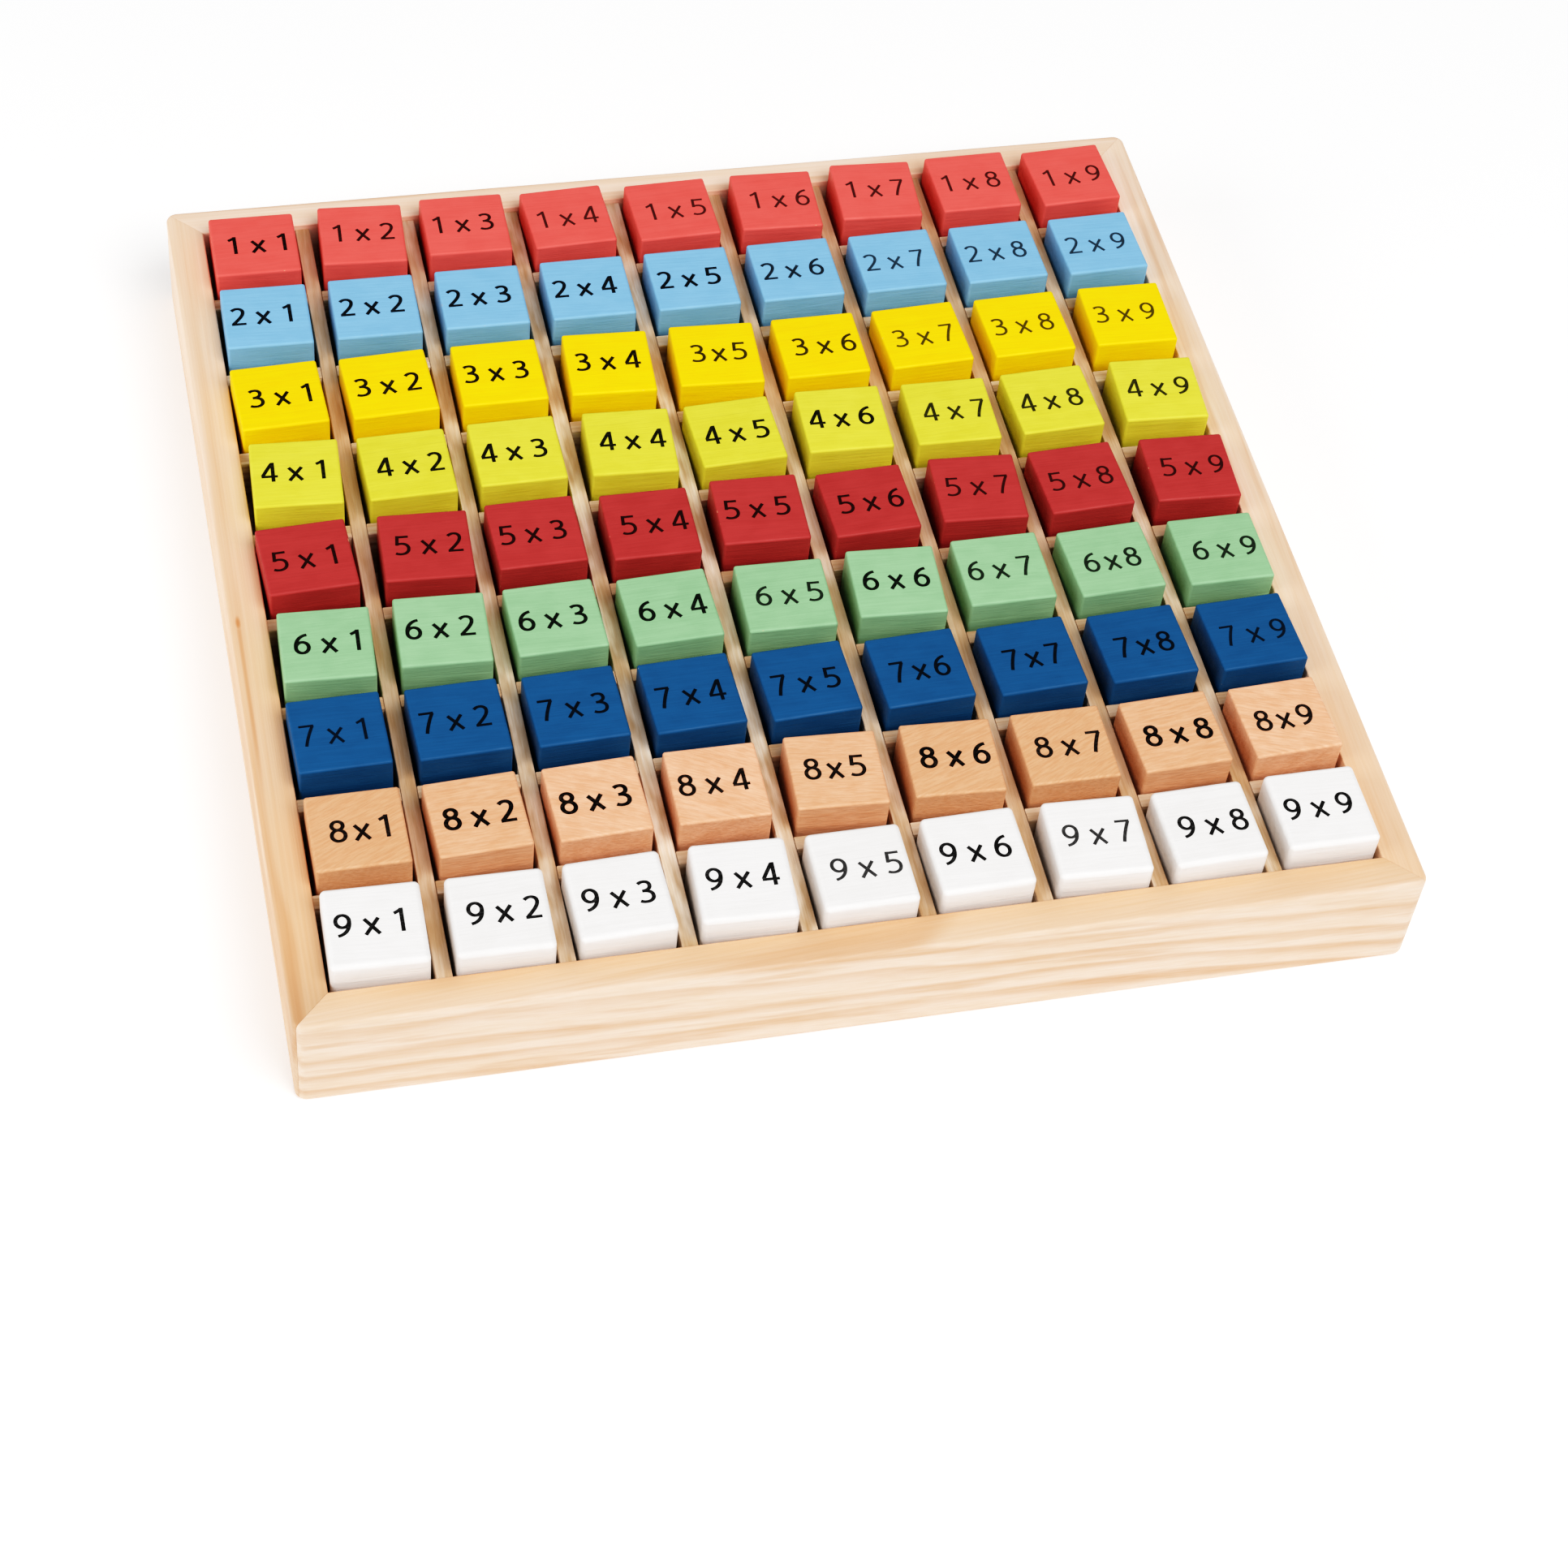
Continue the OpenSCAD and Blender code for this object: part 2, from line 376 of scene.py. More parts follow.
def knotMask(tree, place):
    # an ellipsoid, and a thin streak that runs on from it along the bar
    shrink = tuple(1 / length for length in knot["size"])
    apart = calcVector(tree, "MULTIPLY", calcVector(tree, "SUBTRACT", place, knot["place"]), shrink)
    core = smooth(tree, calcVector(tree, "LENGTH", apart), *knot["coreEdge"], knot["coreStrength"], 0.0)
    split = tree.nodes.new("ShaderNodeSeparateXYZ")
    feed(tree, split.inputs[0], apart)
    along, across, down = split.outputs
    across = calc(tree, "ABSOLUTE", across)
    down = calc(tree, "ABSOLUTE", down)
    streak = smooth(tree, across, *knot["streakSide"], knot["streakStrength"], 0.0)
    streak = calc(tree, "MULTIPLY", streak, smooth(tree, down, *knot["streakDepth"], 1.0, 0.0))
    streak = calc(tree, "MULTIPLY", streak, smooth(tree, along, 0.0, 1.0))
    streak = calc(tree, "MULTIPLY", streak, smooth(tree, along, *knot["streakFade"], 1.0, 0.0))
    return calc(tree, "MAXIMUM", core, streak)


def woodMaterial(name, look):
    # pale patches in the early wood, then flames, the piece's own tone, rings, the knot and the fibres
    material, tree, shader = newMaterial(name)
    if look["fromAttribute"]:
        place = attribute(tree, "grainPlace", "Vector")
    else:
        coordinates = tree.nodes.new("ShaderNodeTexCoord").outputs["Object"]
        place = calcVector(tree, "ADD", coordinates, look["shift"])
    grain = useGroup(tree, woodGrain, {"Place": place, "Spacing": look["spacing"],
                                       "Wander": look["wander"], "Length": look["length"]})
    patches = calc(tree, "MULTIPLY", grain["Patches"], look["patchShare"])
    colour = mixColour(tree, patches, look["early"], look["patch"])
    if look["veined"]:
        flames = noise(tree, place, look["flames"], look["flameDetail"]).outputs["Fac"]
        flames = smooth(tree, flames, *look["flameEdge"], 0.0, look["flameShare"])
        colour = mixColour(tree, flames, colour, look["late"])
    if look["fromAttribute"]:
        colour = mixColour(tree, attribute(tree, "tone", "Fac"), colour, look["toned"])
    ringShare = look["ringShare"]
    if look["veined"]:
        ringShare = calc(tree, "MULTIPLY", attribute(tree, "vein", "Fac"), ringShare)
    colour = mixColour(tree, calc(tree, "MULTIPLY", grain["Rings"], ringShare), colour, look["late"])
    if look["veined"]:
        colour = mixColour(tree, knotMask(tree, place), colour, look["knot"])
    fibres = calc(tree, "MULTIPLY", grain["Fibres"], look["fibreShare"])
    colour = mixColour(tree, fibres, colour, look["fibre"], "MULTIPLY")
    if look["veined"]:
        # the bars' shade: their own tone, and painted shade on their outer faces
        colour = scaleVector(tree, colour, attribute(tree, "shade", "Fac"))
    feed(tree, shader.inputs["Base Color"], colour)
    smoothest = look["roughness"] - woodFinish["roughnessSpread"]
    roughest = look["roughness"] + woodFinish["roughnessSpread"]
    feed(tree, shader.inputs["Roughness"], smooth(tree, grain["Fibres"], 0.0, 1.0, smoothest, roughest))
    shader.inputs["Specular IOR Level"].default_value = woodFinish["specular"]
    rings = calc(tree, "MULTIPLY", grain["Rings"], woodFinish["ringRelief"])
    addBump(tree, shader, calc(tree, "ADD", grain["Fibres"], rings), look["relief"])
    return material


pineLook = {
    "fromAttribute": True,
    "veined": True,
    "early": linear(250, 227, 208),
    "patch": linear(242, 212, 185),
    "patchShare": 0.6,
    "late": linear(218, 168, 128),
    "ringShare": 0.75,
    "flames": (5, 360, 360),  # long thin lines, in waves to the metre
    "flameDetail": 3.0,
    "flameEdge": (0.5, 0.7),
    "flameShare": 0.5,
    "toned": linear(230, 188, 151),
    "knot": linear(204, 136, 84),
    "fibre": linear(244, 232, 216),
    "fibreShare": 0.4,
    "spacing": 6.6 * mm,
    "wander": 16 * mm,
    "length": 3.5,
    "roughness": 0.5,
    "relief": 0.02 * mm,
}
slatLook = {
    "fromAttribute": True,
    "veined": False,
    "early": linear(248, 234, 218),
    "patch": linear(192, 160, 122),
    "patchShare": 0.9,
    "late": linear(188, 148, 106),
    "ringShare": 0.4,
    "toned": linear(214, 180, 148),
    "fibre": linear(230, 210, 184),
    "fibreShare": 0.6,
    "spacing": 2.2 * mm,
    "wander": 9 * mm,
    "length": 0.7,
    "roughness": 0.58,
    "relief": 0.05 * mm,
}
panelLook = {
    "fromAttribute": False,
    "veined": False,
    "shift": (0.02, 0.05, 0.041),
    "early": linear(242, 218, 190),
    "patch": linear(231, 200, 165),
    "patchShare": 0.6,
    "late": linear(212, 172, 132),
    "ringShare": 0.5,
    "fibre": linear(232, 216, 198),
    "fibreShare": 0.6,
    "spacing": 4.6 * mm,
    "wander": 14 * mm,
    "length": 2.0,
    "roughness": 0.6,
    "relief": 0.05 * mm,
}
bareLook = {
    "fromAttribute": True,
    "veined": False,
    "early": linear(249, 198, 168),
    "patch": linear(233, 177, 143),
    "patchShare": 0.5,
    "late": linear(220, 161, 121),
    "ringShare": 0.2,
    "toned": linear(219, 170, 131),
    "fibre": linear(230, 206, 184),
    "fibreShare": 0.45,
    "spacing": 3.0 * mm,
    "wander": 10 * mm,
    "length": 0.22,
    "roughness": 0.55,
    "relief": 0.04 * mm,
}

framePine = woodMaterial("framePine", pineLook)
slatWood = woodMaterial("slatWood", slatLook)
panelPly = woodMaterial("panelPly", panelLook)
bareBlockWood = woodMaterial("bareBlockWood", bareLook)

# paints and ink

paintLook = {
    "wood": linear(240, 205, 160),
    "specular": 0.22,
    "relief": 0.03 * mm,
    "paints": {
        "coral": (linear(239, 113, 106), linear(230, 103, 96), 1.0),
        "sky": (linear(143, 191, 227), linear(133, 182, 218), 0.7),
        "yellow": (linear(255, 222, 10), linear(252, 211, 7), 0.6),
        "lime": (linear(229, 223, 87), linear(217, 210, 71), 0.6),
        "crimson": (linear(188, 75, 74), linear(175, 65, 64), 1.0),
        "mint": (linear(159, 198, 157), linear(146, 186, 145), 0.7),
        "navy": (linear(41, 99, 145), linear(34, 89, 133), 0.7),
        "white": (linear(244, 242, 241), linear(236, 234, 232), 0.0),
    },
}
inkLook = {
    "black": linear(12, 11, 11),
    "thin": (1500, 2600, 1500),  # spots, in waves to the metre
    "thinDetail": 3.0,
    "thinEdge": (0.45, 0.75),
    "thinShare": 0.05,
    "faintShare": 0.1,
    "roughness": (0.5, 0.65),
    "specular": 0.12,
    "relief": 0.02 * mm,
}


def paintMaterial(name):
    paint, deep, wear = paintLook["paints"][name]
    material, tree, shader = newMaterial(name + "Paint")
    skin = useGroup(tree, paintSkin, {
        "Place": attribute(tree, "grainPlace", "Vector"),
        "Edge": attribute(tree, "edge", "Fac"),
        "Tone": attribute(tree, "tone", "Fac"),
        "Paint": paint,
        "Deep": deep,
        "Wood": paintLook["wood"],
        "Wear": wear,
    })
    feed(tree, shader.inputs["Base Color"], skin["Colour"])
    feed(tree, shader.inputs["Roughness"], skin["Roughness"])
    shader.inputs["Specular IOR Level"].default_value = paintLook["specular"]
    addBump(tree, shader, skin["Height"], paintLook["relief"])
    return material


def inkMaterial():
    # printed ink lies thinner where the wood is uneven, and on the faint sums, and lets the paint through
    material, tree, shader = newMaterial("blackInk")
    place = tree.nodes.new("ShaderNodeTexCoord").outputs["Object"]
    thin = noise(tree, place, inkLook["thin"], inkLook["thinDetail"]).outputs["Fac"]
    thin = smooth(tree, thin, *inkLook["thinEdge"])
    faint = calc(tree, "MULTIPLY", attribute(tree, "faint", "Fac"), inkLook["faintShare"])
    through = calc(tree, "ADD", calc(tree, "MULTIPLY", thin, inkLook["thinShare"]), faint)
    under = attribute(tree, "under", "Color")
    feed(tree, shader.inputs["Base Color"], mixColour(tree, through, inkLook["black"], under))
    feed(tree, shader.inputs["Roughness"], smooth(tree, thin, 0.0, 1.0, *inkLook["roughness"]))
    shader.inputs["Specular IOR Level"].default_value = inkLook["specular"]
    addBump(tree, shader, thin, inkLook["relief"])
    return material


paints = {name: paintMaterial(name) for name in paintLook["paints"]}
blackInk = inkMaterial()
print("materials built:", len(bpy.data.materials))

# mesh helpers


def makePiece(name, points, faces, values, material, nodes, smoothed=False):
    mesh = bpy.data.meshes.new(name)
    mesh.from_pydata(points.tolist(), [], faces)
    for label, data in values.items():
        isVector = data.ndim == 2
        layer = mesh.attributes.new(label, "FLOAT_VECTOR" if isVector else "FLOAT", "POINT")
        layer.data.foreach_set("vector" if isVector else "value", data.astype(np.float32).ravel())
    mesh.polygons.foreach_set("use_smooth", np.full(len(mesh.polygons), smoothed))
    mesh.materials.append(material)
    mesh.update()
    piece = bpy.data.objects.new(name, mesh)
    scene.collection.objects.link(piece)
    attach(piece, "root")
    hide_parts(*nodes)
    return piece


bevelled = {
    "segments": 2,
    "sharpFrom": 35,  # degrees between two faces
}


def addBevel(piece, width):
    bevel = piece.modifiers.new("softEdges", "BEVEL")
    bevel.width = width
    bevel.segments = bevelled["segments"]
    bevel.limit_method = "ANGLE"
    bevel.angle_limit = math.radians(bevelled["sharpFrom"])
    bevel.harden_normals = True


def scatter(row, column, seed):
    # a number from -1 to 1, the same one that places the solids
    return math.sin(math.radians(row * 137 + column * 211 + seed * 97 + row * column * 71))


def turned(points, angle):
    # points turned about the upright axis
    c, s = math.cos(angle), math.sin(angle)
    x, y = points[:, 0], points[:, 1]
    return np.column_stack([c * x - s * y, s * x + c * y, points[:, 2]])


# tray frame

bar = {
    "topRound": 1.0 * mm,
    "innerRound": 0.35 * mm,
    "cornerRound": 2.5 * mm,
    "mitreGap": 0.02 * mm,
    "softEdge": 0.06 * mm,
    "faceDepth": 2 * mm,  # how far in from the outer face the top's colour is reached
    "arcSteps": 5,
    "cornerSteps": 7,
    "bodySteps": 24,
}
barStops = (-1, 0, 0.85, 1)  # places along a bar, from its left end seen from outside
barLooks = {  # warmth, rings and shade are given at the stops, for a bar's top; the shade there is the bar's own tone
    "front": {
        "cut": (0.11, -0.006, 0.032),  # where in the trunk the bar was cut, and how the grain leans in it
        "lean": (-0.07, 0.030),
        "warmth": (0.85, 0.9, 1.0, 1.0),
        "rings": (0.7, 0.9, 0.8, 0.8),
        "shade": (0.97, 0.97, 0.97, 0.97),
        "faceWarmth": 0.1,  # the outer face's shares of them; the face's share of shade is painted shade, darkening the outer face for the light that falls on it
        "facePaintedShade": 0.9,
    },
    "right": {
        "cut": (0.57, 0.020, 0.031),
        "lean": (0.02, 0.030),
        "warmth": (0.5, 0.25, 0.0, 0.0),
        "rings": (0.6, 0.4, 0.2, 0.2),
        "shade": (1.04, 1.04, 1.04, 1.04),
        "faceWarmth": 0.5,
        "facePaintedShade": 0.95,
    },
    "back": {
        "cut": (1.13, 0.012, 0.052),
        "lean": (0.0, 0.012),
        "warmth": (0.05, 0.0, 0.0, 0.0),
        "rings": (0.4, 0.3, 0.2, 0.2),
        "shade": (1.03, 1.03, 1.03, 1.03),
        "faceWarmth": 0.5,
        "facePaintedShade": 0.95,
    },
    "left": {
        "cut": (1.71, 0.0485, -0.0255),
        "lean": (0.004, 0.0),
        "warmth": (0.3, 0.65, 1.0, 1.0),
        "rings": (0.15, 0.6, 1.2, 1.4),
        "shade": (1.0, 1.0, 0.96, 0.8),
        "faceWarmth": 0.75,
        "facePaintedShade": 1.0,
    },
}
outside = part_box("frame_right")[1].x
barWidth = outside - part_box("frame_right")[0].x
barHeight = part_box("frame_front")[1].z


def barSection():
    # round the section from the bottom over the outer face: quarter circles at four corners
    turn = np.linspace(0, math.pi / 2, bar["arcSteps"] + 1)
    big, small = bar["topRound"], bar["innerRound"]
    corners = [
        (big, big, big, -math.pi / 2),
        (big, barHeight - big, big, -math.pi),
        (barWidth - small, barHeight - small, small, -math.pi * 1.5),
        (barWidth - small, small, small, -math.pi * 2),
    ]
    arcs = [
        np.column_stack([d + r * np.cos(start - turn), z + r * np.sin(start - turn)])
        for d, z, r, start in corners
    ]
    return np.concatenate(arcs)


def roundCorner(x, y):
    # inside the corner square, squares about its inner corner become circles
    inner = outside - bar["cornerRound"]
    a = np.maximum(np.abs(x) - inner, 0)
    b = np.maximum(np.abs(y) - inner, 0)
    far = np.hypot(a, b)
    share = np.where((a > 0) & (b > 0), np.maximum(a, b) / np.maximum(far, 1e-12), 1.0)
    newX = np.where(a > 0, np.sign(x) * (inner + a * share), x)
    newY = np.where(b > 0, np.sign(y) * (inner + b * share), y)
    return newX, newY


def barStations():
    # places along a bar as shares of its reach: closer together over the rounded corners
    tip = 1 - bar["cornerRound"] / outside * np.linspace(1, 0, bar["cornerSteps"] + 1)
    body = np.linspace(-tip[0], tip[0], bar["bodySteps"])[1:-1]
    return np.concatenate([-tip[::-1], body, tip])


def overBar(along, inward, atStops, faceShare):
    # a value along the bar times a share of it that grows to 1 from the outer face inwards
    return np.outer(np.interp(along, barStops, atStops), faceShare + (1 - faceShare) * inward).ravel()


def makeBar(side, angle):
    # the section carried along the bar; each point runs out to the mitre at its own depth
    section = barSection()
    along = barStations()
    depth, up = section[:, 0], section[:, 1]
    reach = outside - depth - bar["mitreGap"]
    x = along[:, None] * reach[None, :]
    y = np.broadcast_to(depth - outside, x.shape)
    z = np.broadcast_to(up, x.shape)
    flatX, flatY = roundCorner(x.ravel(), y.ravel())
    points = np.column_stack([flatX, flatY, z.ravel()])
    count = len(section)
    i, j = np.meshgrid(np.arange(len(along) - 1), np.arange(count), indexing="ij")
    here, after = i * count + j, i * count + (j + 1) % count
    quads = np.stack([here, here + count, after + count, after], -1).reshape(-1, 4)
    ends = [list(range(count)), list(range(len(points) - count, len(points)))[::-1]]
    look = barLooks[side]
    leanY, leanZ = (slope * points[:, 0] for slope in look["lean"])
    grain = np.column_stack([points[:, 0], points[:, 1] + outside + leanY, points[:, 2] + leanZ])
    inward = np.clip(depth / bar["faceDepth"], 0, 1)
    values = {
        "grainPlace": grain + look["cut"],
        "tone": overBar(along, inward, look["warmth"], look["faceWarmth"]),
        "vein": overBar(along, inward, look["rings"], 1),
        # shade: the bar's own tone along its top, times painted shade on its outer face
        "shade": overBar(along, inward, look["shade"], look["facePaintedShade"]),
    }
    piece = makePiece(
        side + "Bar", turned(points, angle), quads.tolist() + ends, values,
        framePine, ["frame_" + side], True,
    )
    addBevel(piece, bar["softEdge"])


for quarter, side in enumerate(["front", "right", "back", "left"]):
    makeBar(side, quarter * math.pi / 2)
print("tray frame made")

# slats

slat = {
    "lapGap": 0.1 * mm,
    "softEdge": 0.25 * mm,
    "grainTurn": 0.02,
    "grainStep": 0.3,  # each slat comes from its own stretch of the wood
    "grainRoom": (4 * mm, 5 * mm),
    "crossSeed": 20,
    "toneSpread": 0.42,
    "frontPaintedLight": 0.35,  # painted light: how much of the tone a long slat loses at its front end, so it shows paler there
    "frontPaintedLightReach": 0.25,  # share of its length over which it does
}


def combOutline(length, low, high, notches, notchWidth, fromTop):
    # the slat from the side: a bar with a notch half its height at every crossing
    middle = (low + high) / 2
    edge = high if fromTop else low
    steps = [np.array([[x - notchWidth / 2, edge], [x - notchWidth / 2, middle],
                       [x + notchWidth / 2, middle], [x + notchWidth / 2, edge]]) for x in notches]
    notched = np.concatenate([[[-length / 2, edge]], *steps, [[length / 2, edge]]])
    other = low if fromTop else high
    return np.concatenate([notched, [[length / 2, other], [-length / 2, other]]])


def makeSlat(name, node, fromTop, crossings, alongX, seed):
    # two comb outlines a thickness apart, joined by quads, made along X and then turned into place
    lowest, highest = (np.array(corner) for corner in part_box(node))
    centre = (lowest + highest) / 2
    size = highest - lowest
    length, thickness = (size[0], size[1]) if alongX else (size[1], size[0])
    outline = combOutline(length, lowest[2], highest[2], crossings, thickness + slat["lapGap"], fromTop)
    count = len(outline)
    sides = [
        np.column_stack([outline[:, 0], np.full(count, y), outline[:, 1]])
        for y in (-thickness / 2, thickness / 2)
    ]
    points = np.concatenate(sides)
    j = np.arange(count)
    after = (j + 1) % count
    quads = np.column_stack([j, j + count, after + count, after])
    ends = [list(range(count)), list(range(count, 2 * count))[::-1]]
    if not fromTop:
        quads = quads[:, ::-1]
        ends = [end[::-1] for end in ends]
    tilt = slat["grainTurn"] * scatter(seed, 2, 5)
    roomY, roomZ = slat["grainRoom"]
    cut = [slat["grainStep"] * seed, roomY * scatter(seed, 5, 1), roomZ * scatter(seed, 1, 8)]
    tone = np.full(len(points), 0.5 + slat["toneSpread"] * scatter(seed, 9, 11))
    if not alongX:
        # painted light: long slats turn paler towards their front ends, next to the white blocks and the
        # open front
        fromFront = points[:, 0] / length + 0.5
        tone -= slat["frontPaintedLight"] * np.interp(fromFront, (0, slat["frontPaintedLightReach"]), (1, 0))
    placed = points if alongX else turned(points, math.pi / 2)
    piece = makePiece(
        name, placed + [centre[0], centre[1], 0], quads.tolist() + ends,
        {"grainPlace": turned(points, tilt) + cut, "tone": np.maximum(tone, 0)},
        slatWood, [node],
    )
    addBevel(piece, slat["softEdge"])


longX = [sum(corner.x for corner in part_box(f"long_slat_{i}")) / 2 for i in range(1, rowCount)]
crossY = [sum(corner.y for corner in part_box(f"cross_slat_{i}")) / 2 for i in range(1, rowCount)]
for i in range(1, rowCount):
    makeSlat(f"longSlat{i}", f"long_slat_{i}", False, sorted(crossY), False, i)
    makeSlat(f"crossSlat{i}", f"cross_slat_{i}", True, sorted(longX), True, i + slat["crossSeed"])
print("slats made")

# blocks

block = {
    "width": 19.5 * mm,
    "whiteWidth": 20 * mm,
    "edge": 0.6 * mm,
    "whiteEdge": 1.2 * mm,
    "edgeSteps": 3,
    "weldWithin": 0.001 * mm,
    "shiftShare": 0.22,  # shares of the spare width of a cell
    "turnShare": 0.25,
    "grainStep": (0.25, 0.031),  # each block comes from its own place in the wood
    "grainRoom": (6 * mm, 9 * mm),
    "grainTilt": 0.05,
    "bareGrainTilt": 0.5,
    "toneSeed": 11,
    "toneSpread": 0.5,
    "bareToneSeed": 19,
    "bareToneSpread": 0.35,
}
rowFinish = [
    ("coral", "coral_paint"), ("sky", "sky_paint"), ("yellow", "yellow_paint"),
    ("lime", "lime_paint"), ("crimson", "crimson_paint"), ("mint", "mint_paint"),
    ("navy", "navy_paint"), ("bare", "bare_block_wood"), ("white", "white_paint"),
]
middleCell = (rowCount + 1) / 2
pitch = (longX[-1] - longX[0]) / (len(longX) - 1)
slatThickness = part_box("long_slat_1")[1].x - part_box("long_slat_1")[0].x
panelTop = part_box("row_1_blocks")[0].z
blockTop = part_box("row_1_blocks")[1].z


def blockWidth(row):
    return block["whiteWidth" if rowFinish[row - 1][0] == "white" else "width"]


def roundedBlock(halfSize, radius):
    # six grids; each line of a grid is an angle from -45 to 45 degrees that turns only
    # in the rounded rims: point = inner corner + radius * direction
    steps = block["edgeSteps"]
    angle = np.radians(np.linspace(-45, 0, steps + 1))
    angle = np.concatenate([angle, -angle[::-1]])
    side = np.repeat([-1.0, 1.0], steps + 1)
    u, v = np.meshgrid(angle, angle, indexing="ij")
    sideU, sideV = np.meshgrid(side, side, indexing="ij")
    faceWay = np.stack([np.tan(u), np.tan(v), np.ones_like(u)], -1).reshape(-1, 3)
    faceWay /= np.linalg.norm(faceWay, axis=1, keepdims=True)
    faceSide = np.stack([sideU, sideV, np.ones_like(u)], -1).reshape(-1, 3)
    axes = np.eye(3)
    turns = [np.column_stack([axes[(k + 1) % 3], axes[(k + 2) % 3], axes[k]]) for k in range(3)]
    turns += [np.column_stack([axes[(k + 2) % 3], axes[(k + 1) % 3], -axes[k]]) for k in range(3)]
    way = np.concatenate([faceWay @ turn.T for turn in turns])
    corner = np.concatenate([faceSide @ turn.T for turn in turns]) * (halfSize - radius)
    points = corner + radius * way
    count = len(angle)
    i, j = np.meshgrid(np.arange(count - 1), np.arange(count - 1), indexing="ij")
    first = i * count + j
    quads = np.stack([first, first + count, first + count + 1, first + 1], -1).reshape(-1, 4)
    quads = np.concatenate([quads + face * count * count for face in range(6)])
    keys = np.round(points / block["weldWithin"]).astype(int)
    found, shared = np.unique(keys, axis=0, return_index=True, return_inverse=True)[1:]
    # 0 on a flat face and 1 from the middle of a rim
    edge = np.clip((1 - np.abs(way).max(1)) / (1 - math.sqrt(0.5)), 0, 1)
    return points[found], way[found], edge[found], shared.ravel()[quads]


def blockPlace(row, column):
    # middle of the block's underside on the panel, and its turn
    width = blockWidth(row)
    spare = pitch - slatThickness - width
    shiftRoom = block["shiftShare"] * spare
    turnRoom = math.asin(2 * block["turnShare"] * spare / width)
    x = (column - middleCell) * pitch + shiftRoom * scatter(row, column, 1)
    y = (middleCell - row) * pitch + shiftRoom * scatter(row, column, 2)
    return np.array([x, y, 0]), turnRoom * scatter(row, column, 3)


def makeBlockRow(row):
    # one rounded block, copied to the nine cells of its row
    finish, slotName = rowFinish[row - 1]
    isBare = finish == "bare"
    height = blockTop - panelTop
    width = blockWidth(row)
    halfSize = np.array([width, width, height]) / 2
    points, way, edge, quads = roundedBlock(halfSize, block["whiteEdge" if finish == "white" else "edge"])
    tilt = block["bareGrainTilt" if isBare else "grainTilt"]
    spread = block["bareToneSpread" if isBare else "toneSpread"]
    toneSeed = block["bareToneSeed" if isBare else "toneSeed"]
    rowStep, columnStep = block["grainStep"]
    roomY, roomZ = block["grainRoom"]
    parts = {"points": [], "way": [], "grain": [], "tone": [], "faces": []}
    for column in factors:
        middle, turn = blockPlace(row, column)
        cut = [rowStep * row + columnStep * column,
               roomY * scatter(row, column, 8), roomZ * scatter(row, column, 9)]
        parts["points"].append(turned(points, turn) + middle + [0, 0, panelTop + height / 2])
        parts["way"].append(turned(way, turn))
        parts["grain"].append(turned(points, tilt * scatter(row, column, 6)) + cut)
        parts["tone"].append(np.full(len(points), 0.5 + spread * scatter(row, column, toneSeed)))
        parts["faces"].append(quads + (column - 1) * len(points))
    joined = {key: np.concatenate(value) for key, value in parts.items()}
    values = {"grainPlace": joined["grain"], "tone": joined["tone"], "edge": np.tile(edge, rowCount)}
    piece = makePiece(
        f"row{row}Blocks", joined["points"], joined["faces"].tolist(), values,
        bareBlockWood if isBare else paints[finish], [f"row_{row}_blocks"], True,
    )
    piece.data.normals_split_custom_set_from_vertices(joined["way"].tolist())


for row in factors:
    makeBlockRow(row)
print("blocks made")

# printed sums

printed = {  # the letters' sizes are in millimetres
    "digitWidth": 3.6,
    "digitHeight": 5.7,
    "digitBox": (0.6, 1.0),
    "crossWidth": 2.8,
    "crossHeight": 3.9,
    "crossBox": (1.0, 1.0),
    "letterGap": 2.5,
    "tightGap": 1.6,
    "tightSums": {(3, 5), (6, 8), (7, 6), (7, 7), (7, 8), (8, 1), (8, 5), (8, 9)},
    "boldSums": {(8, 2), (8, 3), (8, 6), (8, 8)},
    "lightSums": {(1, 2), (1, 3), (2, 6), (3, 5), (3, 6), (6, 5), (9, 5), (9, 7)},
    "faintSums": {(1, 4), (1, 5), (1, 6), (1, 7), (1, 8), (1, 9), (2, 7), (2, 8), (2, 9), (3, 7), (3, 8),
                  (3, 9), (5, 7), (5, 8), (5, 9), (7, 1), (7, 9)},
    "lightRows": (5, 7),
    "lightCorner": (7, 7),  # the last row and the first column of the back right corner
    "weights": {  # width of the strokes as a share of the plain one, and how faint the ink is
        "bold": (1.14, 0.0),
        "plain": (1.0, 0.1),
        "light": (0.9, 0.5),
        "faint": (0.8, 1.0),
    },
    "thin": 0.64,
    "thick": 0.80,
    "shift": (0.8, 0.48),
    "film": 0.05 * mm,
    "curveSteps": 9,
    "ringSteps": 36,
    "weldWithin": 0.0005,
}


def curve(*points):
    # cubic pieces joined end to end: a first point, then three points for each piece
    t = np.linspace(0, 1, printed["curveSteps"])[:, None]
    p = np.array(points, float)
    shares = ((1 - t) ** 3, 3 * (1 - t) ** 2 * t, 3 * (1 - t) * t ** 2, t ** 3)
    pieces = [sum(share * p[k + i] for i, share in enumerate(shares)) for k in range(0, len(p) - 1, 3)]
    return np.concatenate([pieces[0]] + [piece[1:] for piece in pieces[1:]])


def ring(x, y, radiusX, radiusY):
    # an ellipse about x, y whose last point is its first
    t = np.linspace(0, 2 * math.pi, printed["ringSteps"] + 1)
    return np.column_stack([x + radiusX * np.cos(t), y + radiusY * np.sin(t)])


